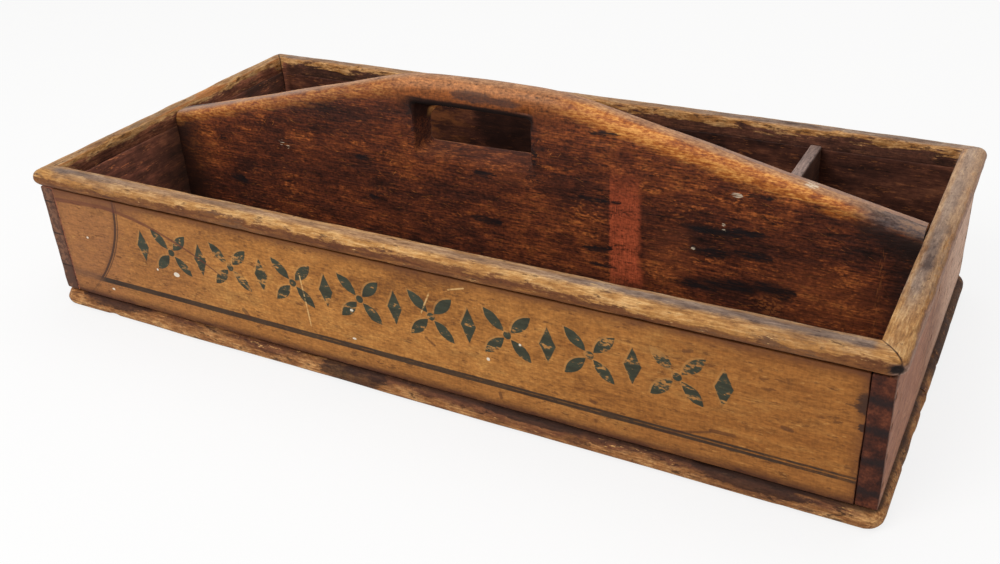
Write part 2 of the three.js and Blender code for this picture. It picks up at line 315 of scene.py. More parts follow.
def worn_rim(
    node, material, along, side, seed, breaks=(), stains=(), polish=1.0, wavy=0.0, arris=0.4,
):
    """One mitred rim strip, swept along its board and worn most on its nosing.

    wavy and arris are the depths in millimetres of broad wear and of wear on the inner arris.
    """
    out, up, roll = rim_outline().T
    points = rim_sweep(along, side, out, limits(node)[0][2] + up)
    rows, count = points.shape[:2]
    ids = np.arange(rows * count).reshape(rows, count)
    ids = np.concatenate([ids, ids[:, :1]], axis=1)
    flip = (side > 0) == (along == 1)
    faces = net(ids, flip)
    points = points.reshape(-1, 3)
    roll = np.tile(roll, rows)
    outward = normals_of(points, faces)
    depth = rim_wear(points, along, roll, seed, wavy, arris)
    depth[:count] += 0.15 * MM
    depth[-count:] += 0.15 * MM
    for centre, radii, lost in breaks:
        mask = spot(points, centre, radii) * lost * MM
        depth += mask * (1 + 0.6 * rough(points, 5 * MM, seed + 23))
    for head in nail_heads(["rim_nail"], (0, 1)):
        away = np.linalg.norm(points[:, :2] - head, axis=1)
        depth = np.minimum(depth, 0.3 * MM + 7 * MM * ease(away, 4 * MM, 10 * MM))
    depth = np.clip(depth, 0, 7 * MM)
    # Painted shade of a deep hole, near black, round each given place
    stain = np.zeros(len(points))
    for centre, radii in stains:
        stain += ease(spot(points, centre, radii), 0.05, 0.45)
    points = points - outward * depth[:, None]
    mitre = INSIDE[along] + side * points[:, 1 - along] - INSIDE[1 - along] - RIM_GAP
    points[:, along] = np.clip(points[:, along], -mitre, mitre)
    turned = -1 if flip else 1
    caps = [ids[0, :-1][::turned].tolist(), ids[-1, :-1][::-turned].tolist()]
    add_piece(
        node, points, faces, material, seed, [along, 1 - along, 2], caps,
        roll=roll,
        lost=depth / MM,
        stain=stain,
        polish=np.full(len(points), polish) * (1 + 0.35 * rough(points, 110 * MM, seed + 31, 2)),
    )


# Base planks

BASE_NOSING = 6.8 * MM
BASE_CORNER = 14 * MM


def worn_plank(node, material, side, seed, breaks):
    """A base plank with a rounded edge on its three outer sides, side telling front or rear."""
    low, high = limits(node)
    heads = nail_heads(["base_nail"], (0, 1))
    heads = heads[(heads[:, 1] > low[1]) & (heads[:, 1] < high[1])]
    xs = lines(low[0], high[0], 5 * MM, [2 * MM, 5 * MM, 9 * MM], nail_lines(heads[:, 0]))
    ys = lines(low[1], high[1], 5 * MM, [1 * MM, 2.5 * MM, 5 * MM, 9 * MM], nail_lines(heads[:, 1]))
    middle_z = (low[2] + high[2]) / 2
    half_z = (high[2] - low[2]) / 2
    zs = middle_z + half_z * np.sin(np.linspace(-math.pi / 2, math.pi / 2, 15))
    points, faces = box_skin(xs, ys, zs)
    flat_x, flat_y, flat_z = points.T.copy()
    sunk = pockets(points[:, :2], heads, 1.9 * MM) * (flat_z < 1e-6)
    # The nosing
    rise = np.clip((flat_z - middle_z) / half_z, -1, 1)
    inset = BASE_NOSING * (1 - np.sqrt(1 - rise ** 2))
    reach_x = high[0]
    reach_y = abs(low[1] if side < 0 else high[1])
    across = side * flat_y
    points[:, 0] -= np.sign(flat_x) * inset * ease(np.abs(flat_x), reach_x - 40 * MM, reach_x)
    across = across - inset * ease(across, reach_y - 40 * MM, reach_y)
    # The outer corners: square rings of points become round ones
    core_x = np.clip(points[:, 0], -(reach_x - BASE_CORNER), reach_x - BASE_CORNER)
    core_y = np.minimum(across, reach_y - BASE_CORNER)
    away = np.stack([points[:, 0] - core_x, across - core_y], 1)
    share = np.max(np.abs(away), axis=1) / np.maximum(np.linalg.norm(away, axis=1), 1e-9)
    points[:, 0] = core_x + away[:, 0] * share
    points[:, 1] = side * (core_y + away[:, 1] * share)
    # Wear
    outward = normals_of(points, faces)
    size = np.array([40, 14, 12]) * MM
    rim = ease(np.maximum(np.abs(flat_x) - reach_x, side * flat_y - reach_y), -12 * MM, -1 * MM)
    depth = 0.2 * MM * (1 + rough(points, size, seed))
    depth += rim * 0.5 * MM * (1 + rough(points, 70 * MM, seed + 3, 1))
    depth += rim * 1.4 * MM * ease(rough(points, size * 0.7, seed + 9), 0.35, 0.8)
    for centre, radii, lost in breaks:
        mask = spot(points, centre, radii, 0.6) * lost * MM
        depth += mask * (1 + 0.5 * rough(points, 6 * MM, seed + 13))
    seam = ease(np.abs(flat_y - (high[1] if side < 0 else low[1])), 1 * MM, 0)
    depth += 0.3 * MM * seam * (1 - rim)
    points = points - outward * np.clip(depth, 0, 6 * MM)[:, None]
    points[:, 2] += sunk
    add_piece(node, points, faces, material, seed, outside=rim)


# Handle board

CREST = 205 * MM
RIM_TOP = 137 * MM
BEND = 30 * MM


def handle_top(xs):
    """The height of the handle board's top edge at each x: two slopes bent into a crest."""
    shoulder = np.where(xs < 0, 69 * MM, 66 * MM)
    end = np.where(xs < 0, RIM_TOP - 3 * MM, RIM_TOP + 3 * MM)
    slope = (CREST - end) / (350 * MM - shoulder)
    past = np.abs(xs) - shoulder
    share = np.clip((past + BEND) / (2 * BEND), 0, 1)
    return CREST - slope * np.where(past < BEND, BEND * share ** 2, past)


HOLE = dict(left=-70 * MM, right=41 * MM, low=137 * MM, high=178.5 * MM)
HOLE_MARGIN = 7.5 * MM
HOLE_ROWS = (29, 45)


def handle_rows(foot):
    """Shares of the flat face's height at which the handle board's rows lie."""
    flat = CREST - 11 * MM - foot
    below = (HOLE["low"] - HOLE_MARGIN - foot) / flat
    above = (HOLE["high"] + HOLE_MARGIN - foot) / flat
    return np.concatenate([np.linspace(0, below, 30), np.linspace(below, above, 17)[1:], [1.0]])


def worn_handle(node, material, seed):
    """The handle board: columns of section loops, with the hand hole's throat let in."""
    low, high = limits(node)
    half = high[1]
    foot = low[2]
    left = HOLE["left"] - HOLE_MARGIN
    right = HOLE["right"] + HOLE_MARGIN
    columns = np.concatenate([
        lines(low[0], left, 3.2 * MM, (0.6 * MM, 1.4 * MM))[:-1],
        np.linspace(left, right, 40),
        lines(right, high[0], 3.2 * MM, (0.6 * MM, 1.4 * MM))[1:],
    ])
    shares = handle_rows(foot)
    arcs = np.linspace(0, math.pi / 2, 9)[1:]
    loops = []
    for x, top in zip(columns, handle_top(columns)):
        rise = np.clip((top - RIM_TOP) / (CREST - RIM_TOP), 0, 1)
        turn = (7 + 4 * rise) * MM
        loop = [(-half, z) for z in foot + (top - turn - foot) * shares]
        loop += [(-half + turn - turn * math.cos(a), top - turn + turn * math.sin(a)) for a in arcs]
        loops.append([(x, y, z) for y, z in loop] + [(x, -y, z) for y, z in loop[::-1]])
    points = np.array(loops)
    count = points.shape[1]
    points = points.reshape(-1, 3)
    ids = np.arange(len(points)).reshape(-1, count)
    quads = net(np.concatenate([ids, ids[:, :1]], axis=1)).reshape(-1, count, 4)
    # The openings of the hand hole, left out of the net on both faces
    first = int(np.argmin(np.abs(columns - left)))
    last = int(np.argmin(np.abs(columns - right)))
    row_low, row_high = HOLE_ROWS
    keep = np.ones(quads.shape[:2], bool)
    keep[first:last, row_low:row_high] = False
    keep[first:last, count - 1 - row_high:count - 1 - row_low] = False
    # The throat: rings from the front opening in the net, through the board, to the back one
    mouth = np.concatenate([
        ids[first:last, row_low], ids[last, row_low:row_high],
        ids[last:first:-1, row_high], ids[first, row_high:row_low:-1],
    ])
    back_mouth = mouth // count * count + count - 1 - mouth % count
    rings, ring_points, depths = throat_rings(points[mouth], points[back_mouth], half, len(points))
    throat = np.concatenate([np.zeros(len(points)), depths])
    points = np.concatenate([points, ring_points])
    rings = np.array([mouth, *rings, back_mouth])
    faces = np.concatenate([quads[keep], net(np.concatenate([rings, rings[:, :1]], axis=1), True)])
    points, outward = wear_handle(points, faces, seed)
    add_piece(
        node, points, faces, material, seed,
        caps=[ids[0].tolist(), ids[-1][::-1].tolist()],
        below_top=(handle_top(points[:, 0]) - points[:, 2]) / MM,
        throat=throat,
        cut=ease(np.abs(outward[:, 0]), 0.5, 0.8),
    )


def hole_lip(mouth, corner, inset):
    """The hand hole's outline at one face, its upper left corner rounded and set in."""
    middle = np.array([HOLE["left"] + HOLE["right"], HOLE["low"] + HOLE["high"]]) / 2
    size = np.array([HOLE["right"] - HOLE["left"], HOLE["high"] - HOLE["low"]]) / 2
    outer = size + HOLE_MARGIN
    onto = np.clip(mouth - middle, -outer, outer) / outer * size
    upper_left = (onto[:, 0] < 0) & (onto[:, 1] > 0)
    radius = np.where(upper_left, corner, 5 * MM)[:, None]
    core = np.clip(onto, radius - size, size - radius)
    lip = core + unit(onto - core) * radius + middle
    leftmost = ease(lip[:, 0], -20 * MM, -40 * MM)
    lip[:, 0] += inset * leftmost
    lip[:, 1] -= 1.5 * inset * leftmost * ease(lip[:, 1], 150 * MM, 172 * MM)
    return lip


def throat_rings(front, back, half, start):
    """Rings of points between the two mouths of the hand hole, rounded where they turn in.

    Returns the rings' point numbers, the points, and how deep in the throat each one is.
    """
    halves = []
    for side, mouth, corner, inset in ((-1, front, 5 * MM, 0), (1, back, 15 * MM, 4 * MM)):
        opening = mouth[:, [0, 2]]
        lip = hole_lip(opening, corner, inset)
        upper = ease(lip[:, 1], HOLE["high"] - 9 * MM, HOLE["high"] - 1 * MM)
        lower = ease(lip[:, 1], HOLE["low"] + 9 * MM, HOLE["low"] + 1 * MM)
        turn = (2.2 + 5.0 * upper + 2.6 * lower) * MM
        direction = unit(opening - lip)
        edge = lip + direction * turn[:, None]
        made = []
        for share in (0.35, 0.7):
            flat = opening * (1 - share) + edge * share
            made.append((flat, mouth[:, 1] * (1 - share) + side * half * share, 0))
        for angle in np.radians([0, 15, 30, 45, 60, 75, 90]):
            flat = lip + direction * (turn * (1 - math.sin(angle)))[:, None]
            made.append((flat, side * (half - turn * (1 - math.cos(angle))), math.sin(angle)))
        halves.append(made)
    near, far = halves
    between = []
    for share in (0.33, 0.67):
        flat, y = (a * (1 - share) + b * share for a, b in zip(near[-1][:2], far[-1][:2]))
        between.append((flat, y, 1))
    rings = near + between + far[::-1]
    points = np.concatenate([np.stack([flat[:, 0], y, flat[:, 1]], 1) for flat, y, _ in rings])
    depths = np.repeat([float(depth) for _, _, depth in rings], len(front))
    ids = start + np.arange(len(points)).reshape(len(rings), -1)
    return ids, tilt_floor(points), depths


def tilt_floor(points):
    """Tilts the floor of the hand hole: up towards the back, and a little to the right."""
    x, y, z = points.T / MM
    near = 1 - ease(z, 137, 158)
    lift = (2.1 + 3.1 * y / 11.5 + 0.02 * (x + 15)) * near
    return points + np.stack([0 * x, 0 * x, lift * MM], 1)


def wear_handle(points, faces, seed):
    """Dents and rubs the handle board inwards, its top edge and its grip the most."""
    outward = normals_of(points, faces)
    size = np.array([42, 14, 12]) * MM
    below = handle_top(points[:, 0]) - points[:, 2]
    top = 1 - ease(below, 2 * MM, 16 * MM)
    depth = 0.25 * MM * (1 + rough(points, size, seed))
    depth += top * 0.7 * MM * (1 + rough(points, np.array([70, 20, 20]) * MM, seed + 3, 2))
    depth += 0.6 * MM * ease(rough(points, size * 0.6, seed + 5), 0.4, 0.85)
    # Short cracks: the x of each, its depth below the top edge and its length
    for x, below_top, length in ((107, 25, 26), (-160, 12, 20), (38, 20, 16)):
        run = np.abs(points[:, 0] / MM - x) / (length / 2)
        rise = np.abs(below / MM - below_top) / 1.4
        mask = np.clip(1 - run, 0, 1) * np.clip(1 - rise, 0, 1)
        depth += mask * 1.2 * MM * (points[:, 1] < 0)
    return points - outward * depth[:, None], outward


# Shader values

def tone(red, green, blue):
    """A screen colour of 0 to 255 as the linear colour that a shader takes."""
    def linear(value):
        value /= 255
        return value / 12.92 if value <= 0.04045 else ((value + 0.055) / 1.055) ** 2.4
    return (linear(red), linear(green), linear(blue), 1)


def operation(name):
    """A method that joins a value with another one in a Math node."""
    return lambda value, other: value.shader.math(name, value, other)


class Value:
    """A number or a colour in a shader, whose arithmetic makes nodes."""

    def __init__(self, shader, socket):
        self.shader = shader
        self.socket = socket

    __add__ = __radd__ = operation("ADD")
    __sub__ = operation("SUBTRACT")
    __mul__ = __rmul__ = operation("MULTIPLY")
    __truediv__ = operation("DIVIDE")
    either = operation("MAXIMUM")
    both = operation("MINIMUM")

    def __rsub__(self, other):
        return self.shader.math("SUBTRACT", other, self)

    def __abs__(self):
        return self.shader.math("ABSOLUTE", self)

    def step(self, start, end):
        """0 before start and 1 after end; start may be the greater."""
        node = self.shader.node("ShaderNodeMapRange", interpolation_type="SMOOTHSTEP")
        for key, value in enumerate((self, start, end, 0.0, 1.0)):
            self.shader.put(node.inputs[key], value)
        return Value(self.shader, node.outputs[0])

    def over(self, share, *top):
        """Lays a screen colour of 0 to 255, or another value's colour, over this colour."""
        top = tone(*top) if len(top) == 3 else top[0]
        self.socket = self.shader.mix(share, self, top).socket

    def shade(self, amount):
        """Makes this colour lighter or darker by an amount round 1."""
        self.socket = self.shader.shaded(self, amount).socket


# Features per metre along and across the grain, detail, roughness and twist of each grain value
WOOD_NOISE = dict(
    fibre=((75, 720, 720), 4, 0.65),
    streak=((24, 210, 210), 4, 0.62, 0.5),
    year=((5, 62, 62), 2, 0.5, 1.2),
    mottle=((55, 88, 88), 4, 0.65),
    patch=((9, 18, 18), 3, 0.55),
    speck=((330, 560, 560), 2, 0.5),
    pit=((110, 290, 290), 3, 0.6),
    scuff=((75, 110, 110), 5, 0.7, 0.6),
    tick=((800, 800, 130), 3, 0.6),
    fleck=((170, 950, 950), 3, 0.6),
    flake=((48, 170, 170), 8, 0.72),
    hair=((34, 800, 800), 3, 0.55),
)


class Shader:
    """Builds one material's nodes. A wooden one has grain values from 0 to 1 round 0.5."""

    def __init__(self, name, wooden=True, made_in=bpy.data.materials):
        self.owner = made_in.new(name)
        self.owner.use_nodes = True
        self.tree = self.owner.node_tree
        self.tree.nodes.clear()
        if wooden:
            grain = self.attribute("grain", "Vector")
            values = {name: self.noise(grain, *how) for name, how in WOOD_NOISE.items()}
            self.wood = SimpleNamespace(**values)
            self.place = self.place_values()

    def node(self, kind, **settings):
        node = self.tree.nodes.new(kind)
        for key, value in settings.items():
            setattr(node, key, value)
        return node

    def put(self, socket, value):
        if isinstance(value, Value):
            value = value.socket
        if isinstance(value, bpy.types.NodeSocket):
            self.tree.links.new(value, socket)
        else:
            socket.default_value = value

    def math(self, operation, *values):
        node = self.node("ShaderNodeMath", operation=operation)
        for socket, value in zip(node.inputs, values):
            self.put(socket, value)
        return Value(self, node.outputs[0])

    def attribute(self, name, output="Fac"):
        return Value(self, self.node("ShaderNodeAttribute", attribute_name=name).outputs[output])

    def place_values(self):
        """The point's place on the object, in millimetres, as three values."""
        source = self.node("ShaderNodeTexCoord").outputs["Object"]
        split = self.node("ShaderNodeSeparateXYZ")
        self.put(split.inputs[0], self.scaled(source, (1000, 1000, 1000)))
        return [Value(self, output) for output in split.outputs]

    def scaled(self, vector, scale):
        node = self.node("ShaderNodeVectorMath", operation="MULTIPLY")
        self.put(node.inputs[0], vector)
        node.inputs[1].default_value = scale
        return node.outputs[0]

    def noise(self, vector, scale, detail, roughness, twist=0.0):
        """Noise whose scale gives features per metre along each axis of the vector."""
        node = self.node("ShaderNodeTexNoise")
        self.put(node.inputs["Vector"], self.scaled(vector, scale))
        settings = dict(Scale=1, Detail=detail, Roughness=roughness, Distortion=twist)
        for key, value in settings.items():
            node.inputs[key].default_value = value
        return Value(self, node.outputs["Fac"])

    def blend(self, gain, **weights):
        """A weighted sum of the wood's values, spread out round 0.5."""
        parts = [(getattr(self.wood, name) - 0.5) * (gain * w) for name, w in weights.items()]
        return sum(parts[1:], parts[0]) + 0.5

    def grit(self, amount):
        """Fine light and dark round 1, from fibres, specks and small scratches."""
        return self.blend(amount, fibre=1.0, speck=0.6, tick=0.5, fleck=0.5) + 0.5

    def shaded(self, colour, amount):
        """A colour made lighter or darker by an amount round 1."""
        node = self.node("ShaderNodeVectorMath", operation="SCALE")
        self.put(node.inputs[0], colour[:3] if isinstance(colour, tuple) else colour)
        self.put(node.inputs["Scale"], amount)
        return Value(self, node.outputs[0])

    def ramp(self, value, *stops):
        """A colour read from stops, each a position and a screen colour of 0 to 255."""
        node = self.node("ShaderNodeValToRGB")
        self.put(node.inputs[0], value)
        elements = node.color_ramp.elements
        while len(elements) < len(stops):
            elements.new(0.5)
        for element, (position, *colour) in zip(elements, stops):
            element.position = position
            element.color = tone(*colour)
        return Value(self, node.outputs["Color"])

    def mix(self, share, first, second):
        node = self.node("ShaderNodeMix", data_type="RGBA")
        for key, value in ((0, share), (6, first), (7, second)):
            self.put(node.inputs[key], value)
        return Value(self, node.outputs[2])

    def finish(self, colour, roughness, height, depth=0.35, specular=0.5, metallic=0.0):
        """Joins colour, roughness and bump height in the surface; depth is in millimetres."""
        bump = self.node("ShaderNodeBump")
        bump.inputs["Distance"].default_value = depth * MM
        self.put(bump.inputs["Height"], height)
        surface = self.node("ShaderNodeBsdfPrincipled")
        values = {
            "Base Color": colour, "Roughness": roughness, "Normal": bump.outputs[0],
            "Specular IOR Level": specular, "Metallic": metallic,
        }
        for key, value in values.items():
            self.put(surface.inputs[key], value)
        self.put(self.node("ShaderNodeOutputMaterial").inputs[0], surface.outputs[0])
        return self.owner


def slashes(s, *angles):
    """Short fine scratches that lie aslant to the grain at the given angles, as a mask."""
    masks = []
    for angle in angles:
        node = s.node("ShaderNodeVectorRotate", rotation_type="Y_AXIS")
        s.put(node.inputs["Vector"], s.attribute("grain", "Vector"))
        node.inputs["Angle"].default_value = math.radians(angle)
        masks.append(s.noise(node.outputs[0], (70, 900, 900), 1, 0.4).step(0.70, 0.75))
    return reduce(Value.either, masks)


def spots(place, ellipses):
    """Soft ellipses on the XZ plane, each by its x, z and two half sizes in millimetres."""
    x, _, z = place
    masks = []
    for at_x, at_z, half_x, half_z in ellipses:
        out_x = (x - at_x) / half_x
        out_z = (z - at_z) / half_z
        masks.append((out_x * out_x + out_z * out_z).step(1, 0))
    return reduce(Value.either, masks)


def frayed(mask, noise, amount=2.0):
    """A soft mask made crisp, its edge frayed by a noise."""
    return (mask + (noise - 0.5) * amount).step(0.38, 0.60)


def feathered(mask, noise, amount=3.0, full=0.8):
    """A soft mask kept soft, thinned and thickened by a noise."""
    return (mask * ((noise - 0.5) * amount + 1)).step(0.10, full)


def warped(place, wood, across, up):
    """The place shifted by noise, so that the spots on it have ragged outlines."""
    x, y, z = place
    sideways = (wood.mottle + wood.pit - 1) * across
    return x + sideways, y, z + (wood.flake - 0.5) * up


def end_grain(s):
    """End grain: dim year rings in dark dirt."""
    value = s.blend(1.8, year=0.5, mottle=0.5, patch=0.4, speck=0.4)
    return s.ramp(value, (0.2, 42, 19, 13), (0.5, 70, 34, 22), (0.8, 102, 54, 34))


def inner_wood(s):
    """Bare wood inside the box, dark and reddish with handling."""
    value = s.blend(2.0, streak=0.35, mottle=0.45, patch=0.6, fibre=0.15)
    colour = s.ramp(
        value, (0.15, 35, 19, 15), (0.42, 66, 37, 28), (0.62, 90, 52, 38), (0.88, 132, 82, 57),
    )
    rubbed = (s.wood.fleck * 0.5 + s.wood.flake * 0.6).step(0.60, 0.68) * 0.5
    colour.over(rubbed, 158, 96, 56)
    colour.shade(s.blend(0.9, fibre=1.0, speck=0.6) + 0.5)
    return colour


# Finishes

def mark(s, start, end, half_width, soft=0.5):
    """A straight mark on the XZ plane between two places in millimetres, as a mask."""
    x, _, z = s.place
    run = (end[0] - start[0], end[1] - start[1])
    square = run[0] ** 2 + run[1] ** 2
    along = (x - start[0]) * (run[0] / square) + (z - start[1]) * (run[1] / square)
    along = along.both(1).either(0)
    gap_x = x - start[0] - along * run[0]
    gap_z = z - start[1] - along * run[1]
    gap = s.math("SQRT", gap_x * gap_x + gap_z * gap_z)
    return gap.step(half_width + soft, half_width - soft * 0.3)


def stencil_mask(s, x, z):
    """A plain stencilled border: crosses of four leaves with a lozenge between them."""
    pitch = 64
    across = x + 252
    cell = s.math("WRAP", across, 0, pitch)
    inside = across.step(-11, -10) * across.step(8 * pitch + 11, 8 * pitch + 10)
    side = abs(cell - pitch / 2)
    up = abs(z - 83)
    # Leaves lie on the diagonals from the middle of a cell
    out = (side + up) * 0.7071 - 15.5
    off = abs(side - up) * 0.7071
    leaf = (off / 4.6 + out * out / 130).step(1.06, 0.94)
    # A lozenge stands where two cells meet
    edge = pitch / 2 - side
    lozenge = (edge / 6.5 + up / 15).step(1.07, 0.93)
    dot = s.math("SQRT", side * side + up * up).step(3.6, 3.0)
    return leaf.either(lozenge).either(dot) * inside


def front_finish():
    """Ochre paint with dark stripes and a green stencilled border, worn and dirty."""
    s = Shader("worn_front_paint")
    wood = s.wood
    x, _, z = s.place
    tint = s.blend(2.1, mottle=0.35, patch=0.5, flake=0.4, speck=0.2)
    tint = tint + (wood.streak - 0.5) * x.step(60, 260) * 0.9
    paint = s.ramp(
        tint, (0.12, 112, 67, 29), (0.38, 146, 94, 42), (0.60, 167, 111, 53), (0.88, 190, 137, 72),
    )
    # Broad changes of tone: paler to the left, ruddier to the right, duller under the stripe
    paint.over(x.step(-262, -300) * 0.6, 142, 92, 56)
    paint.over(x.step(60, 300) * 0.55, 130, 77, 31)
    paint.over(z.step(35, 33.5) * 0.4, 146, 94, 48)
    paint.over(x.step(-120, -240) * 0.3, 146, 97, 60)
    paint.shade(s.grit(1.0))
    # Brown blotches, dark specks and rubbed places
    blotch = (wood.flake * 0.6 + wood.patch * 0.4).step(0.53, 0.62) * 0.45
    paint.over(blotch, 112, 68, 28)
    dirt = (wood.pit * 0.6 + wood.flake * 0.4).step(0.57, 0.63) * 0.7
    paint.over(dirt, 92, 54, 26)
    bright = (wood.fleck * 0.6 + wood.flake * 0.4).step(0.58, 0.66) * 0.5
    paint.over(bright, 196, 144, 80)
    # Grime and painted shade under the rim, along the foot and at the ends
    jagged = (wood.flake - 0.5) * 16
    grime_and_shade = (z + jagged).step(108, 122) * 0.65 + s.attribute("edge") * 0.3 + x.step(338, 350) * 0.4
    paint.over(grime_and_shade * (wood.flake + 0.35), 94, 54, 30)
    # Dirt and painted shade above the joint with the base
    foot = (z + jagged * 0.6).step(27, 18) * (wood.flake * 2.6 - 0.5)
    paint.over(foot.both(0.9).either(0), 66, 36, 26)
    # Stencilled border in dark green
    green = s.ramp(wood.flake, (0.35, 26, 38, 32), (0.65, 52, 64, 52))
    wobble = (wood.scuff - 0.5) * 2.0
    stencil = stencil_mask(s, x + wobble, z + wobble)
    thin = (wood.flake * 0.9 + wood.speck * 0.3 + wood.patch * 0.4).step(0.92, 0.84)
    halo = stencil_mask(s, x + 1.2, z - 1.0) * 0.35
    paint.over(halo, 178, 132, 76)
    paint.over(stencil * thin * 0.95, green)
    striping(s, paint)
    # Small marks
    for start, end in (((-84, 91), (-80, 46)), ((36, 103), (27, 83)), ((53, 110), (66, 114))):
        scratch = mark(s, start, end, 0.45) * wood.flake.step(0.40, 0.5)
        paint.over(scratch * 0.85, 206, 164, 106)
    for start, end, width in FRONT_STREAKS:
        streak = feathered(mark(s, start, end, width, 1.6), wood.flake)
        paint.over(streak * 0.6, 66, 38, 26)
    rust = spots(warped(s.place, wood, 20, 20), CORNER_RUST)
    paint.over(feathered(rust, wood.flake, 2.5) * 0.85, 44, 30, 27)
    whites = frayed(spots(s.place, FLECKS), wood.flake, 1.2)
    paint.over(whites * 0.9, 222, 212, 194)
    colour = s.mix(s.attribute("outside"), inner_wood(s), paint)
    colour.over(s.attribute("cut"), end_grain(s))
    height = s.blend(1.0, fibre=0.35, flake=0.7, pit=0.4) + stencil * thin * 0.12
    roughness = s.blend(1.2, mottle=0.5, speck=0.4) * 0.3 + 0.42
    return s.finish(colour, roughness, height, specular=0.16)


def striping(s, paint):
    """The stripe along the foot, the arc near the left end and the flourish that leaves it."""
    wood = s.wood
    x, _, z = s.place
    line = s.ramp(wood.flake, (0.38, 26, 22, 20), (0.62, 54, 43, 34))
    fray = (wood.flake - 0.5) * 3.0
    band = abs(z - 36.9 + fray * 0.3).step(3.0, 2.2) * x.step(-326, -306)
    slit = abs(z - 37.2 + fray * 0.2).step(0.2, 0.8) * x.step(-140, -90)
    worn = (wood.flake + x.step(360, 150) * 0.16).step(0.44, 0.56)
    open_slit = x.step(-140, -90) * wood.flake.step(0.54, 0.46) * 0.35 + x.step(190, 250) * 0.6
    stripe = band * (1 - open_slit * (1 - slit)) * (worn * 0.35 + 0.65)
    smear = abs(z - 38).step(6, 1) * x.step(-300, -318)
    paint.over(smear * 0.55, 88, 60, 46)
    paint.over(stripe.both(0.92), line)
    fall = 120 - z
    bow = x + 277 + fall * fall * 0.0054
    halo = abs(bow + 2).step(6, 0) * z.step(34, 40) * 0.4
    paint.over(halo, 104, 64, 38)
    arc = abs(bow + 1.0 + fray * 0.3).step(1.7, 0.9)
    arc = arc.either(abs(bow - 1.9 + fray * 0.3).step(0.9, 0.3) * 0.7)
    arc = arc * (z.step(36, 40) * 0.7 + 0.3) * (wood.flake * 1.2 + 0.35)
    paint.over(arc.both(0.9), 62, 40, 30)
    run = x + 290
    right = run.either(0)
    left = run.both(0)
    height = 112.4 + left * 0.045 - right * 0.085 - right * right * 0.0020
    away = abs(z - height + fray * 0.5)
    width = x.step(-170, -300) * 1.3 + 0.9
    sweep = (away / width).step(1.25, 0.55) * x.step(-165, -175)
    paint.over(sweep * 0.75, 92, 48, 34)
    above = (z - height).step(0, 2) * x.step(-235, -262) * 0.5
    paint.over(above, 104, 62, 40)


CORNER_NAIL_HEIGHTS = (101, 79, 55, 30)

CORNER_RUST = ((353, 97, 16, 11), (352, 79, 6, 6), (352, 55, 7, 6), (352, 30, 6, 6))

FRONT_STREAKS = (
    ((253, 46.5), (269, 47), 0.9),
    ((220, 35), (252, 45), 0.4),
    ((30, 63), (37, 58), 0.6),
    ((232, 105), (237, 106), 0.9),
    ((300, 64), (306, 63), 0.9),
    ((-150, 44), (-145, 38), 1.6),
    ((165, 45), (168, 44), 0.9),
    ((91, 30), (92, 26), 0.7),
)

FLECKS = (
    (-219.5, 62, 4.8, 3.2), (-303, 29, 2.2, 1.4), (-320, 77.5, 1.7, 1.4), (-241, 62.5, 1.4, 1.4),
    (-37, 71, 2.2, 1.6), (83, 58, 2.0, 2.0), (110, 77.5, 1.4, 1.4), (-38, 44.5, 2.3, 1.1),
)


def side_finish():
    """Worn reddish paint outside, dark wood inside, stained end grain at the ends."""
    s = Shader("worn_side_paint")
    wood = s.wood
    x, y, z = s.place
    tint = s.blend(2.4, streak=0.45, mottle=0.35, patch=0.4, tick=0.3)
    paint = s.ramp(
        tint, (0.15, 116, 74, 56), (0.42, 152, 108, 84), (0.62, 170, 127, 101), (0.88, 190, 150, 122),
    )
    paint.over(y.step(-10, -60) * 0.45, 166, 110, 84)
    paint.over(y.step(-30, 110) * 0.6, 224, 188, 164)
    worn = (wood.scuff * 0.7 + wood.streak * 0.4).step(0.58, 0.68) * 0.7
    paint.over(worn, 122, 74, 48)
    crack = abs(y + 18 + (wood.flake - 0.5) * 8).step(1.5, 0.5) * z.step(36, 46) * z.step(96, 84)
    paint.over(crack * x.step(350, 360) * 0.85, 52, 32, 26)
    # Darker along the board's edges and in pits: dirt, with painted shade where the board meets other
    # parts
    grime_and_shade = s.attribute("edge") * (wood.scuff * 2.0 - 0.2) + wood.pit.step(0.58, 0.7) * 0.6
    paint.over(grime_and_shade, 80, 50, 38)
    paint.shade(s.grit(0.9))
    # Inside: dark wood, brightened on the left end board's inner face towards the front and the back as
    # painted light
    left_end = x.step(-340, -352)
    painted_light = y.step(-4, -95) * 4.2 + y.step(16, 50) * 2.8 - 0.1
    lit = s.shaded(inner_wood(s), 1 + left_end * painted_light)
    lit.over(left_end * 0.07, 190, 160, 140)
    # Painted shadow of the handle on the back board's inner face, with a lighter patch of painted light
    # and golden flecks beside it
    behind = spots(s.place, ((-50, 100, 80, 60),)) * y.step(140, 150)
    lit.over(frayed(behind, wood.flake, 1.0) * 0.75, 26, 13, 10)
    lighter = spots(s.place, ((-150, 95, 44, 50),)) * y.step(140, 150)
    lit.over(lighter * wood.flake.step(0.40, 0.60) * 0.6, 132, 78, 42)
    colour = s.mix(s.attribute("outside"), lit, paint)
    # End grain: the left strip keeps its paint, and the iron of the nails stains both
    left = x.step(-340, -360)
    worn_off = (wood.flake + z.step(60, 20) * 0.12).step(0.46, 0.56)
    painted = s.mix(worn_off * 0.75, tone(118, 82, 62), tone(66, 45, 38))
    cut = s.mix(left, end_grain(s), painted)
    for height in CORNER_NAIL_HEIGHTS:
        gap = abs(z - height + (wood.flake - 0.5) * 9)
        cut.over(gap.step(5.5, 1.0) * (1 - left) * 0.85, 30, 21, 21)
    for height in (106, 74, 42):
        gap = abs(z - height + (wood.flake - 0.5) * 2)
        cut.over(gap.step(1.2, 0.4) * left * 0.85, 30, 21, 19)
    colour.over(s.attribute("cut"), cut)
    height = s.blend(1.0, fibre=0.6, mottle=0.5, pit=0.4)
    return s.finish(colour, wood.mottle * 0.3 + 0.5, height, specular=0.16)


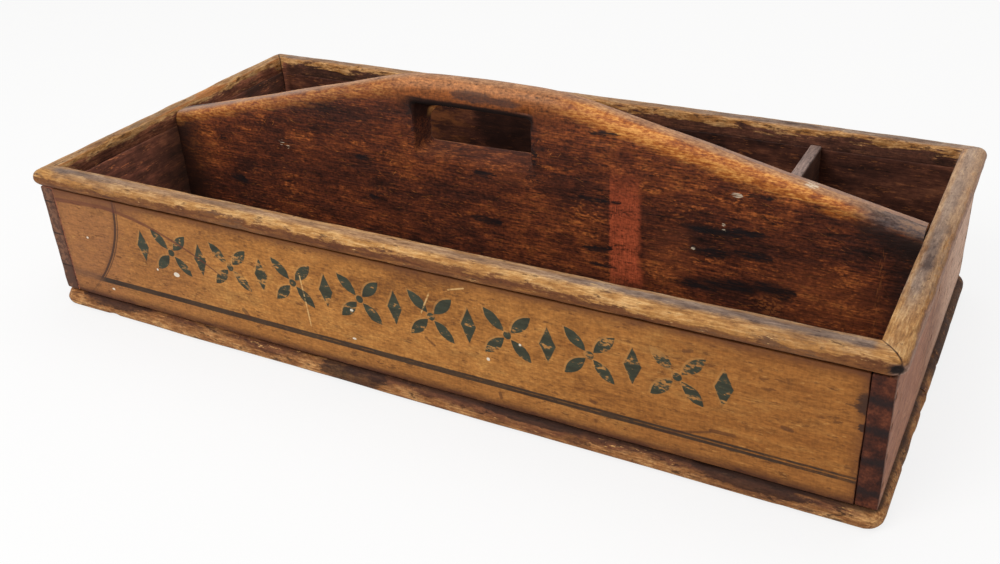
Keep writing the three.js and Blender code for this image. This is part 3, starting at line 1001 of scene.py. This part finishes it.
def rim_finish():
    """Tan or grey on the flat top, golden where the nosing is rubbed, dark brown below."""
    s = Shader("worn_rim_wood")
    wood = s.wood
    x, y, _ = s.place
    roll = s.attribute("roll") * 1000
    mitre = abs(abs(x) - abs(y) - 195).step(1.2, 0.4)
    rear = y.step(140, 150)
    left = x.step(-346, -349)
    back = rear.either(left * 0.75)
    polish = s.attribute("polish")
    ragged = (wood.flake - 0.5) * 34 + (wood.patch - 0.5) * 8
    grey = x.step(20, 220) * 0.95 + x.step(-225, -290) * 0.7
    grey = (grey + wood.patch * 2.0 - 0.9).both(1).either(0)
    tan = s.ramp(
        s.blend(2.2, flake=0.6, streak=0.3, fibre=0.3),
        (0.15, 108, 76, 52), (0.45, 154, 116, 82), (0.85, 190, 152, 114),
    )
    dusty = s.ramp(
        s.blend(2.4, flake=0.7, streak=0.3, mottle=0.3),
        (0.15, 76, 58, 50), (0.5, 124, 102, 88), (0.85, 162, 138, 118),
    )
    gold = s.ramp(
        s.blend(2.6, flake=0.6, fibre=0.3, mottle=0.3),
        (0.12, 126, 80, 40), (0.45, 174, 124, 68), (0.85, 216, 174, 118),
    )
    colour = s.mix(grey, tan, dusty)
    golden = (x.step(-342, -352) * 0.55).either(x.step(346, 352) * y.step(-80, -135) * 0.75)
    colour.over(golden, gold)
    under = s.ramp(
        s.blend(2.6, flake=0.5, streak=0.4, patch=0.4),
        (0.15, 70, 38, 24), (0.45, 112, 68, 36), (0.85, 156, 104, 54),
    )
    colour.over((roll + ragged).step(15, 17), under)
    low = 19 + x.step(120, 240) * 5 - x.step(300, 345) * 5 + x.step(-150, -260) * 3
    rubbed = (roll + ragged * 0.45).step(7.5, 13) * (low - roll - ragged).step(-2, 2.5)
    ends = 1 - x.step(-170, -240) * 0.4 + x.step(-335, -350) * 0.4 - x.step(230, 300) * 0.3
    colour.over(rubbed * polish.both(1) * ends, gold)
    seam = (roll + ragged * 0.8 + (wood.streak - 0.5) * 12 - low + 19).step(18, 20.5)
    seam = seam * (roll + ragged * 0.5).step(27, 22)
    colour.over(seam * 0.6, 84, 47, 29)
    plum = (roll + ragged * 0.4).step(24, 28) * wood.patch.step(0.45, 0.60)
    colour.over(plum * 0.4, 98, 66, 50)
    # The arris over the inner face is rubbed too, and that face is dark, brightened on the left strip as
    # painted light
    inner = (roll + ragged * 0.2).step(-1.5, -4)
    behind = x.step(-340, -347) * (y.step(10, 40) * 0.5 + 0.5) + 1
    colour.over(inner * 0.95, s.shaded(inner_wood(s), behind))
    reach = rear * -4.5 - left * 4.5 - 3.5 + (wood.streak - 0.5) * (rear * 20 + 8)
    arris = (roll + ragged * (back * 0.4 + 0.15) - reach).step(0, 3) * (roll + ragged * 0.3).step(4.5, 0.5)
    amber = s.mix(rear * 0.35, gold, tone(150, 92, 46))
    colour.over(arris * (back * 0.4 + 0.55), amber)
    flakes = (wood.flake * 0.6 + wood.fleck * 0.4).step(0.50, 0.57) * back * arris
    colour.over(flakes * 0.75, 210, 160, 104)
    gaps = (wood.pit * 0.5 + wood.flake * 0.5).step(0.47, 0.41) * back * arris
    colour.over(gaps * 0.8, 66, 38, 24)
    blotch = (wood.flake * 0.5 + wood.patch * 0.5).step(0.55, 0.63) * (1 - rubbed * 0.7)
    colour.over(blotch * 0.6, 80, 60, 50)
    pits = (wood.pit * 0.6 + wood.flake * 0.4).step(0.57, 0.64) * 0.75
    colour.over(pits, 72, 44, 28)
    glint = (wood.fleck * 0.5 + wood.flake * 0.5).step(0.60, 0.66) * polish.both(1)
    colour.over(glint * 0.7, 228, 184, 122)
    colour.over((s.attribute("lost") - 2.2).step(0, 1.0) * 0.7, 176, 108, 56)
    pale = x.step(346, 352) * y.step(-40, 120) * 0.3
    colour.over(pale, 206, 174, 148)
    # The right strip's outer side keeps the end board's paint
    painted = x.step(358, 366) * (roll + ragged * 0.3).step(17, 22)
    colour.over(painted * 0.85, s.shaded(tone(160, 126, 108), s.grit(1.0)))
    colour.over(mitre * (wood.flake * 1.6 - 0.1), 56, 34, 26)
    colour.shade(s.grit(0.9))
    # Near black in the broken corner: painted shade of a hole deeper than the wood worn away
    colour.over(s.attribute("stain"), 26, 17, 15)
    height = s.blend(1.0, fibre=0.4, flake=1.0, pit=0.4)
    return s.finish(colour, wood.mottle * 0.3 + 0.48, height, 0.6, specular=0.15)


def handle_finish():
    """Dark waxed wood, rubbed golden along its top edge, stained black round old iron."""
    s = Shader("worn_handle_wood")
    wood = s.wood
    x, y, z = s.place
    front = y.step(0.05, -0.05)
    turned = (x * (front * 2 - 1), y, z)
    below_top = s.attribute("below_top")
    # Reddish brown with warm and dark places, the same on both faces but mirrored
    glow = spots(turned, HANDLE_GLOWS)
    shade = spots(turned, HANDLE_SHADES)
    tint = s.blend(1.7, patch=0.45, mottle=0.3, scuff=0.25, streak=0.3, flake=0.35, hair=0.3)
    tint = tint + glow * 0.12 - shade * 0.17
    body = s.ramp(
        tint,
        (0.08, 32, 15, 11), (0.34, 65, 31, 20), (0.52, 91, 43, 24),
        (0.70, 126, 64, 31), (0.92, 168, 100, 48),
    )
    smear = wood.fleck * 0.3 + wood.speck * 0.2 + wood.flake * 0.5 + glow * 0.03
    body.over(smear.step(0.55, 0.63) * (glow * 0.45 + 0.27), 168, 94, 44)
    nicks = slashes(s, 14, -22) * 0.5 + slashes(s, 52) * spots(turned, HANDLE_NICKS)
    body.over(nicks.both(1) * 0.8, 190, 116, 52)
    body.shade(s.blend(2.7, fibre=0.6, hair=0.55, speck=0.9, fleck=0.4, tick=0.3) + 0.52)
    # Painted shade in the corners where the handle board meets the end boards
    dim = (x.step(-300, -340) * 0.8).either(x.step(322, 348) * 0.6) * z.step(150, 124)
    body.over(dim, 38, 23, 18)
    handle_edge(s, turned, below_top, body)
    handle_marks(s, below_top, front, body)
    handle_throat(s, body)
    body.over(s.attribute("cut") * 0.4, end_grain(s))
    height = s.blend(1.0, fibre=0.35, flake=0.8, pit=0.5, fleck=0.2)
    roughness = s.blend(1.2, mottle=0.6, scuff=0.4) * 0.3 + 0.42
    roughness = roughness + s.attribute("throat").step(0, 0.3) * 0.4
    return s.finish(body, roughness, height, 0.4, specular=0.28)


def handle_edge(s, turned, below_top, body):
    """The top edge: tan on top, a golden band under it, a smooth grip, a grey right end."""
    wood = s.wood
    x, _, z = turned
    fray = (wood.flake - 0.5) * 26 + (wood.streak - 0.5) * 14
    band = 15 - x.step(200, 310) * 5 - x.step(-90, -190) * 4
    reach = below_top + fray - band
    gold = s.ramp(
        s.blend(2.8, flake=0.6, mottle=0.3, fibre=0.4, fleck=0.4, speck=0.3),
        (0.10, 122, 58, 20), (0.42, 176, 98, 36), (0.85, 232, 162, 82),
    )
    strength = 0.45 + x.step(40, 120) * 0.55 - x.step(290, 322) * 0.9
    strength = strength + x.step(-230, -260) * x.step(-335, -320) * 0.22
    body.over(reach.step(4, -3.5) * strength.both(1), gold)
    # The grip: rubbed wood, lighter on top and darker lower down as painted light and shade, and painted
    # shade under it
    grip = x.step(-105, -72) * x.step(85, 50) * below_top.step(31, 25)
    rubbed = s.mix((below_top + fray * 0.4).step(5, 14), tone(168, 110, 67), tone(140, 77, 34))
    rubbed.over((below_top + fray * 0.4).step(15, 24), 92, 44, 20)
    rubbed.shade(s.blend(2.4, flake=0.8, speck=0.8, fibre=0.5, tick=0.5) + 0.45)
    body.over(grip * 0.9, rubbed)
    iron = feathered(spots(warped(turned, wood, 24, 8), GRIP_STAINS), wood.flake, 3.0, 1.1)
    body.over(iron * grip * 0.7, 52, 42, 42)
    # Painted shade on the grip's underside, over the hand hole
    under = (z + fray * 0.12 + x * 0.02).step(186, 183.5) * z.step(168, 172)
    under = under * x.step(-88, -68) * x.step(47, 42)
    body.over(under * 0.9, 26, 12, 9)
    # Tan along the very top, greyer to the left as painted reflection
    tan = s.ramp(
        s.blend(2.4, flake=0.7, speck=0.4),
        (0.15, 104, 70, 48), (0.5, 158, 114, 80), (0.85, 194, 150, 112),
    )
    tan.over(x.step(-140, -220) * 0.5, 140, 118, 110)
    body.over((below_top + fray * 0.10).step(3.6, 0.8) * 0.85, tan)
    # A grey right end: worn wood with painted reflection on top
    end = x.step(292, 322) * (below_top + fray * 0.7).step(12, 6)
    worn_end_sheen = s.ramp(
        s.blend(3.0, flake=1.0, speck=0.3),
        (0.25, 46, 34, 32), (0.5, 84, 72, 70), (0.75, 124, 96, 78),
    )
    body.over(end * 0.8, worn_end_sheen)
    # Painted shade under the grey right end, in the corner by the right end board
    under_end = x.step(296, 312) * (below_top + fray * 0.3).step(8, 12)
    under_end = under_end * (below_top + fray * 0.6).step(30, 16)
    body.over(under_end * 0.75, 28, 18, 16)


def iron_stains(place, ellipses):
    """Soft ellipses like those of spots, darkest at their right ends, where the nails are."""
    masks = []
    for ellipse in ellipses:
        toward = (place[0] - ellipse[0]) * (0.35 / ellipse[2]) + 0.9
        masks.append(spots(place, [ellipse]) * toward)
    return reduce(Value.either, masks)


def handle_marks(s, below_top, front, body):
    """The red ghost of a lost partition, iron stains, a knot, comb marks, pits and white flecks."""
    wood = s.wood
    x, _, z = place = s.place
    rubbed = spots(place, ((14, 130, 44, 14), (166, 84, 26, 36), (285, 70, 62, 36))) * front
    body.over(rubbed * 0.22, 140, 76, 46)
    tick = (wood.tick - 0.5) * 8
    bulge = z.step(68, 58) * 3
    ghost = (x + tick * 0.6).step(110, 112.5) * (x + tick * 1.4 - bulge).step(140, 134)
    ghost = ghost * (z + tick * 0.8).step(42, 56) * (z + tick * 3).step(160, 112) * front
    hairs = wood.tick.step(0.56, 0.62) * z.step(84, 110) * z.step(128, 118)
    ghost = ghost * (1 - hairs * 0.9)
    ghost = ghost * (s.blend(2.0, flake=0.8, speck=0.5).step(0.10, 0.45) * 0.7 + 0.3)
    red = s.shaded(tone(176, 82, 50), s.blend(2.2, flake=0.8, tick=1.0, speck=0.6) + 0.5)
    body.over(ghost * 0.86, red)
    iron = iron_stains(warped(place, wood, 34, 11), HANDLE_STAINS) * front
    body.over(iron.step(0.05, 0.5) * 0.32, 38, 22, 17)
    streaky = wood.fibre * 0.5 + wood.hair * 0.5
    body.over(feathered(iron, streaky, 7.0, 1.05) * 0.94, 18, 15, 18)
    knot = spots(place, ((246, 55, 15, 11),)) * front
    body.over(knot * wood.speck.step(0.50, 0.58) * 0.7, 150, 88, 46)
    comb = abs(x - 325 + tick * 0.3).step(2.5, 0.5) * z.step(44, 54) * z.step(126, 112)
    body.over(comb * wood.tick.step(0.50, 0.60) * front * 0.4, 160, 96, 50)
    pits = (wood.pit * 0.6 + wood.flake * 0.4).step(0.58, 0.64) * below_top.step(8, 26)
    body.over(pits * 0.7, 32, 15, 11)
    whites = (wood.flake * 0.5 + wood.fleck * 0.5).step(0.48, 0.54)
    whites = whites * spots(warped(place, wood, 6, 4), HANDLE_FLECKS).step(0.15, 0.55)
    body.over(whites * 0.9, 220, 202, 176)


def handle_throat(s, body):
    """Inside the hand hole: dark under the grip and on the right jamb as painted shade, warm on the floor,
    gold on one back corner as painted light.
    """
    wood = s.wood
    x, y, z = s.place
    throat = s.attribute("throat")
    floor = s.ramp(
        s.blend(2.6, flake=0.8, patch=0.4, fibre=0.3, fleck=0.3),
        (0.2, 50, 24, 15), (0.5, 82, 40, 23), (0.8, 144, 80, 40),
    )
    floor.shade(x.step(-40, 10) * 0.45 + s.blend(2.0, fleck=0.6, speck=0.6) + 0.5)
    body.over(throat * z.step(154, 146) * 0.8, floor)
    # Painted shade on the hole's ceiling, under the grip
    ceiling = throat.step(0.0, 0.5) * z.step(158, 168)
    body.over(ceiling * 0.9, 26, 12, 8)
    # Painted shade with dirt on the right jamb
    jamb = throat * x.step(30, 40) * z.step(140, 150)
    body.over(jamb * 0.7, 34, 17, 12)
    rim = throat * y.step(8.0, 10) * z.step(152, 148) * wood.flake.step(0.38, 0.50)
    body.over(rim * 0.7, 158, 104, 64)
    # Painted light on the back mouth's rounded upper left corner
    arch = throat * y.step(4, 7) * x.step(-26, -38) * z.step(160, 168)
    body.over(arch * 0.95, 246, 176, 104)


# Places on the handle board, each by its x, z and two half sizes in millimetres

HANDLE_GLOWS = (
    (196, 142, 104, 34), (53, 152, 14, 30), (-196, 130, 24, 12), (-262, 122, 18, 18),
    (-240, 148, 12, 14), (-132, 130, 18, 10), (-86, 120, 18, 24), (-318, 108, 30, 26),
    (205, 83, 80, 10), (-210, 80, 26, 14), (300, 88, 44, 26), (225, 128, 60, 8),
    (162, 78, 28, 44), (290, 62, 50, 26), (92, 100, 30, 30), (12, 128, 46, 12),
)

HANDLE_NICKS = ((-88, 122, 22, 26), (-300, 128, 34, 26), (-235, 140, 20, 20), (60, 150, 16, 24))

GRIP_STAINS = ((-10, 193.0, 30, 7.0), (18, 191.4, 28, 5.4))

# The two at x -352 and 352 are painted shade in the corners by the end boards
HANDLE_SHADES = (
    (-300, 60, 60, 30), (-352, 90, 20, 80), (307, 112, 18, 14), (352, 88, 24, 70),
    (-160, 160, 60, 12), (-30, 62, 70, 26), (20, 40, 160, 18), (-270, 92, 22, 10), (0, 100, 56, 9),
    (210, 104, 50, 12), (215, 58, 56, 16),
)

HANDLE_STAINS = (
    (194, 111, 34, 5.0), (224, 114, 27, 4.4), (196, 92, 28, 6.2), (230, 96, 30, 5.6),
    (182, 60, 28, 5.8), (212, 66, 32, 7.2), (240, 70, 22, 6.0), (258, 67, 12, 9),
    (236, 146, 16, 2.6), (92, 119.4, 28, 2.6), (113.5, 120.4, 5.0, 3.4), (102, 75.5, 13, 4.6),
    (110, 76, 5.6, 4.6), (104, 60.5, 19, 2.6), (-4, 124.6, 15, 4.0), (3, 123.6, 5.5, 4.2),
    (-4, 82, 18, 5.0), (3, 81.6, 6.5, 4.8), (-129, 120.3, 17, 3.6), (-123, 83.6, 8, 5.0),
    (-281, 75, 17, 6.0), (-295, 116, 4, 2.6), (106, 178, 18, 2.6), (110, 177.6, 6, 3.2),
    (41.8, 144, 2.4, 30), (-71.4, 160, 2.2, 30),
)

HANDLE_FLECKS = (
    (215, 144.5, 6, 2.4), (221, 171, 3.5, 2.2), (276, 160, 17, 4.0), (183, 92.7, 2.8, 1.7),
    (206, 118, 1.8, 1.7), (206, 113, 1.8, 1.6), (-220, 121.5, 4.6, 3.4), (-213, 118, 3.0, 2.4),
)


def divider_finish():
    """Bare dark wood, grey along the top edge."""
    s = Shader("worn_divider_wood")
    wood = s.wood
    z = s.place[2]
    colour = s.ramp(
        s.blend(2.4, streak=0.5, mottle=0.4, patch=0.3),
        (0.15, 46, 28, 22), (0.5, 76, 48, 36), (0.85, 108, 74, 54),
    )
    grey = s.ramp(wood.streak, (0.35, 104, 86, 80), (0.65, 156, 130, 118))
    colour.over((z + (wood.mottle - 0.5) * 6).step(119.5, 121.5), grey)
    colour.over(wood.pit.step(0.58, 0.7) * 0.7, 40, 26, 22)
    colour.shade(s.grit(1.2))
    height = s.blend(1.0, fibre=0.6, mottle=0.5)
    return s.finish(colour, wood.mottle * 0.2 + 0.5, height, specular=0.3)


def base_finish():
    """Golden brown along the worn edge with dark patches, dark and dusty inside."""
    s = Shader("worn_base_wood")
    wood = s.wood
    x, y, z = s.place
    edge = s.attribute("outside")
    dark = s.ramp(
        s.blend(2.2, streak=0.4, flake=0.5, patch=0.4),
        (0.12, 44, 25, 18), (0.42, 84, 50, 34), (0.62, 110, 68, 44), (0.88, 152, 102, 62),
    )
    gold = s.ramp(
        s.blend(2.6, flake=0.7, fibre=0.3, mottle=0.3),
        (0.12, 96, 59, 34), (0.42, 146, 97, 56), (0.85, 202, 154, 100),
    )
    ragged = (wood.flake - 0.5) * 38 + (wood.patch - 0.5) * 30
    corner = abs(x).step(330, 362) * 10
    right = x.step(362, 369) * (y.step(-166, -158) * 4 + y.step(-60, -20) * 5)
    low = (z + ragged - corner + right).step(13.5, 7)
    colour = s.mix(edge * low, dark, gold)
    glint = (wood.fleck * 0.5 + wood.flake * 0.5).step(0.58, 0.64) * edge
    colour.over(glint * 0.8, 214, 164, 100)
    plum = spots(s.place, ((-42, 12, 44, 18), (-305, 16, 56, 8), (285, 14, 60, 7), (120, 16, 60, 5)))
    plum = frayed(plum, wood.flake, 2.6) * edge
    colour.over(plum * (wood.flake * 1.2 + 0.2), 52, 32, 25)
    dark_side = x.step(362, 369) * (y.step(-4, 16) * 0.8 + abs(y + 95).step(18, 10) * 0.6)
    colour.over(dark_side * wood.flake.step(0.62, 0.50), 48, 35, 29)
    # A dark line along the top of the base's front edge, under the board: dirt and painted shade
    shoulder = (z + ragged * 0.04).step(14.2, 16.0) * x.step(-140, 60) * edge
    colour.over(shoulder * 0.75, 44, 29, 24)
    pits = (wood.pit * 0.6 + wood.flake * 0.4).step(0.56, 0.62) * 0.75
    colour.over(pits, 46, 28, 20)
    colour.over((z + ragged * 0.04).step(3.2, 1.2) * edge * 0.6, 60, 38, 26)
    colour.shade(s.grit(1.2))
    height = s.blend(1.0, fibre=0.4, flake=1.0, pit=0.4)
    return s.finish(colour, wood.mottle * 0.25 + 0.5, height, 0.6, specular=0.12)


def iron_finish():
    """Old cut nails, brown with rust."""
    s = Shader("rusty_nail_iron", wooden=False)
    source = s.node("ShaderNodeTexCoord").outputs["Object"]
    rust = s.noise(source, (420, 420, 420), 4, 0.6)
    colour = s.ramp(rust, (0.35, 38, 26, 22), (0.55, 72, 46, 34), (0.75, 110, 70, 46))
    return s.finish(colour, rust * 0.3 + 0.55, rust, 0.2, specular=0.4, metallic=0.15)


# Stage, light and camera

def add_stage():
    """A pale floor. What the camera sees of it is lifted towards white and keeps its shadow."""
    s = Shader("pale_floor", wooden=False)
    white = s.node("ShaderNodeBsdfDiffuse")
    white.inputs["Color"].default_value = (0.84, 0.83, 0.82, 1)
    glow = s.node("ShaderNodeEmission")
    glow.inputs["Color"].default_value = (1, 1, 1, 1)
    seen = Value(s, s.node("ShaderNodeLightPath").outputs["Is Camera Ray"])
    lifted = s.node("ShaderNodeMixShader")
    for key, value in enumerate((seen * 0.8, white.outputs[0], glow.outputs[0])):
        s.put(lifted.inputs[key], value)
    s.put(s.node("ShaderNodeOutputMaterial").inputs[0], lifted.outputs[0])
    mesh = bpy.data.meshes.new("floor")
    corners = [(-6, -6, 0), (6, -6, 0), (6, 6, 0), (-6, 6, 0)]
    mesh.from_pydata(corners, [], [(0, 1, 2, 3)])
    mesh.materials.append(s.owner)
    floor = bpy.data.objects.new("floor", mesh)
    bpy.context.scene.collection.objects.link(floor)


def add_world():
    """Even white light. The camera and gloss see a white studio round the box."""
    s = Shader("studio", wooden=False, made_in=bpy.data.worlds)
    seen_by = s.node("ShaderNodeLightPath").outputs
    mix = s.node("ShaderNodeMixShader")
    s.put(mix.inputs[0], s.math("MAXIMUM", seen_by["Is Camera Ray"], seen_by["Is Glossy Ray"]))
    for key, strength in ((1, 0.55), (2, 1.0)):
        white = s.node("ShaderNodeBackground")
        white.inputs["Color"].default_value = (1, 1, 1, 1)
        white.inputs["Strength"].default_value = strength
        s.put(mix.inputs[key], white.outputs[0])
    s.put(s.node("ShaderNodeOutputWorld").inputs[0], mix.outputs[0])
    bpy.context.scene.world = s.owner


def add_lamp(name, place, target, size, power):
    """A square area lamp of this size in metres and power in watts, turned to the target."""
    data = bpy.data.lights.new(name, "AREA")
    data.shape = "SQUARE"
    data.size = size
    data.energy = power
    lamp = bpy.data.objects.new(name, data)
    lamp.location = place
    toward = Vector(target) - Vector(place)
    lamp.rotation_mode = "QUATERNION"
    lamp.rotation_quaternion = toward.to_track_quat("-Z", "Y")
    bpy.context.scene.collection.objects.link(lamp)


CAMERA_PLACE = (0.4278, -0.7461, 0.5052)
CAMERA_ANGLES = (60.27, 2.91, 28.22)
CAMERA_LENS = 39.53


def add_camera():
    """The camera that was fitted to the box's outline."""
    data = bpy.data.cameras.new("camera")
    data.lens = CAMERA_LENS
    data.sensor_width = 36
    data.clip_end = 50
    camera = bpy.data.objects.new("camera", data)
    camera.location = CAMERA_PLACE
    camera.rotation_euler = [math.radians(angle) for angle in CAMERA_ANGLES]
    bpy.context.scene.collection.objects.link(camera)
    bpy.context.scene.camera = camera


bpy.context.scene.view_settings.view_transform = "Standard"
add_camera()
add_world()
add_stage()
add_lamp("key", (-0.7, -2.0, 1.9), (0, 0, 0.1), 1.6, 42)
add_lamp("top", (0.4, 0.6, 2.4), (0, 0, 0.1), 2.2, 17)

front_paint = front_finish()
side_paint = side_finish()
rim_wood = rim_finish()
handle_wood = handle_finish()
base_wood = base_finish()

worn_board("front_board", front_paint, 0, (1, -1), seed=1)
worn_board("back_board", side_paint, 0, (1, 1), ["divider_nail_back"], seed=2)
for name, side, seed in (("left", -1, 3), ("right", 1, 4)):
    nails = [f"corner_nail_front_{name}", f"corner_nail_back_{name}", f"handle_nail_{name}"]
    worn_board(f"{name}_end_board", side_paint, 1, (0, side), nails, seed=seed)
worn_board("rear_divider", divider_finish(), 1, (0, -1), arris=1.6 * MM, seed=5)

# Breaks: the middle and the half sizes of each in millimetres, and how much wood is lost
# The broken corner by the right front is painted near black as the shade of a deep hole
CORNER_HOLE = ((365.0, -174.5, 127.5), (9.2, 9.2, 8.2))
corner = dict(breaks=[(*CORNER_HOLE, 3)], stains=[CORNER_HOLE])
worn_rim("rim_front", rim_wood, 0, -1, 6, **corner)
worn_rim("rim_back", rim_wood, 0, 1, 7, polish=0.7, wavy=0.3, arris=1.4)
worn_rim(
    "rim_left", rim_wood, 1, -1, 8, polish=0.9, wavy=0.8, arris=1.9,
    breaks=[
        ((-352, 48, 137), (18, 34, 12), 3.6),
        ((-348, 83, 137), (8, 10, 8), 4.0),
        ((-371, 98, 131), (10, 8, 10), 2.4),
    ],
)
worn_rim("rim_right", rim_wood, 1, 1, 9, polish=0.6, **corner)
worn_plank(
    "base_plank_front", base_wood, -1, seed=10,
    breaks=[
        ((371, -104, 12), (9, 6, 10), 2.2),
        ((371, -72, 4), (8, 14, 8), 1.2),
        ((371, -34, 12), (9, 8, 10), 1.6),
        ((-368, -172, 14), (12, 12, 6), 1.6),
    ],
)
worn_plank(
    "base_plank_rear", base_wood, 1, seed=11,
    breaks=[((371, 30, 12), (9, 5, 10), 1.6), ((371, 96, 14), (8, 10, 8), 1.4)],
)
worn_handle("handle_board", handle_wood, seed=12)

iron = iron_finish()
for name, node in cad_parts.items():
    if "_nail_" in name:
        node.data.materials.clear()
        node.data.materials.append(iron)
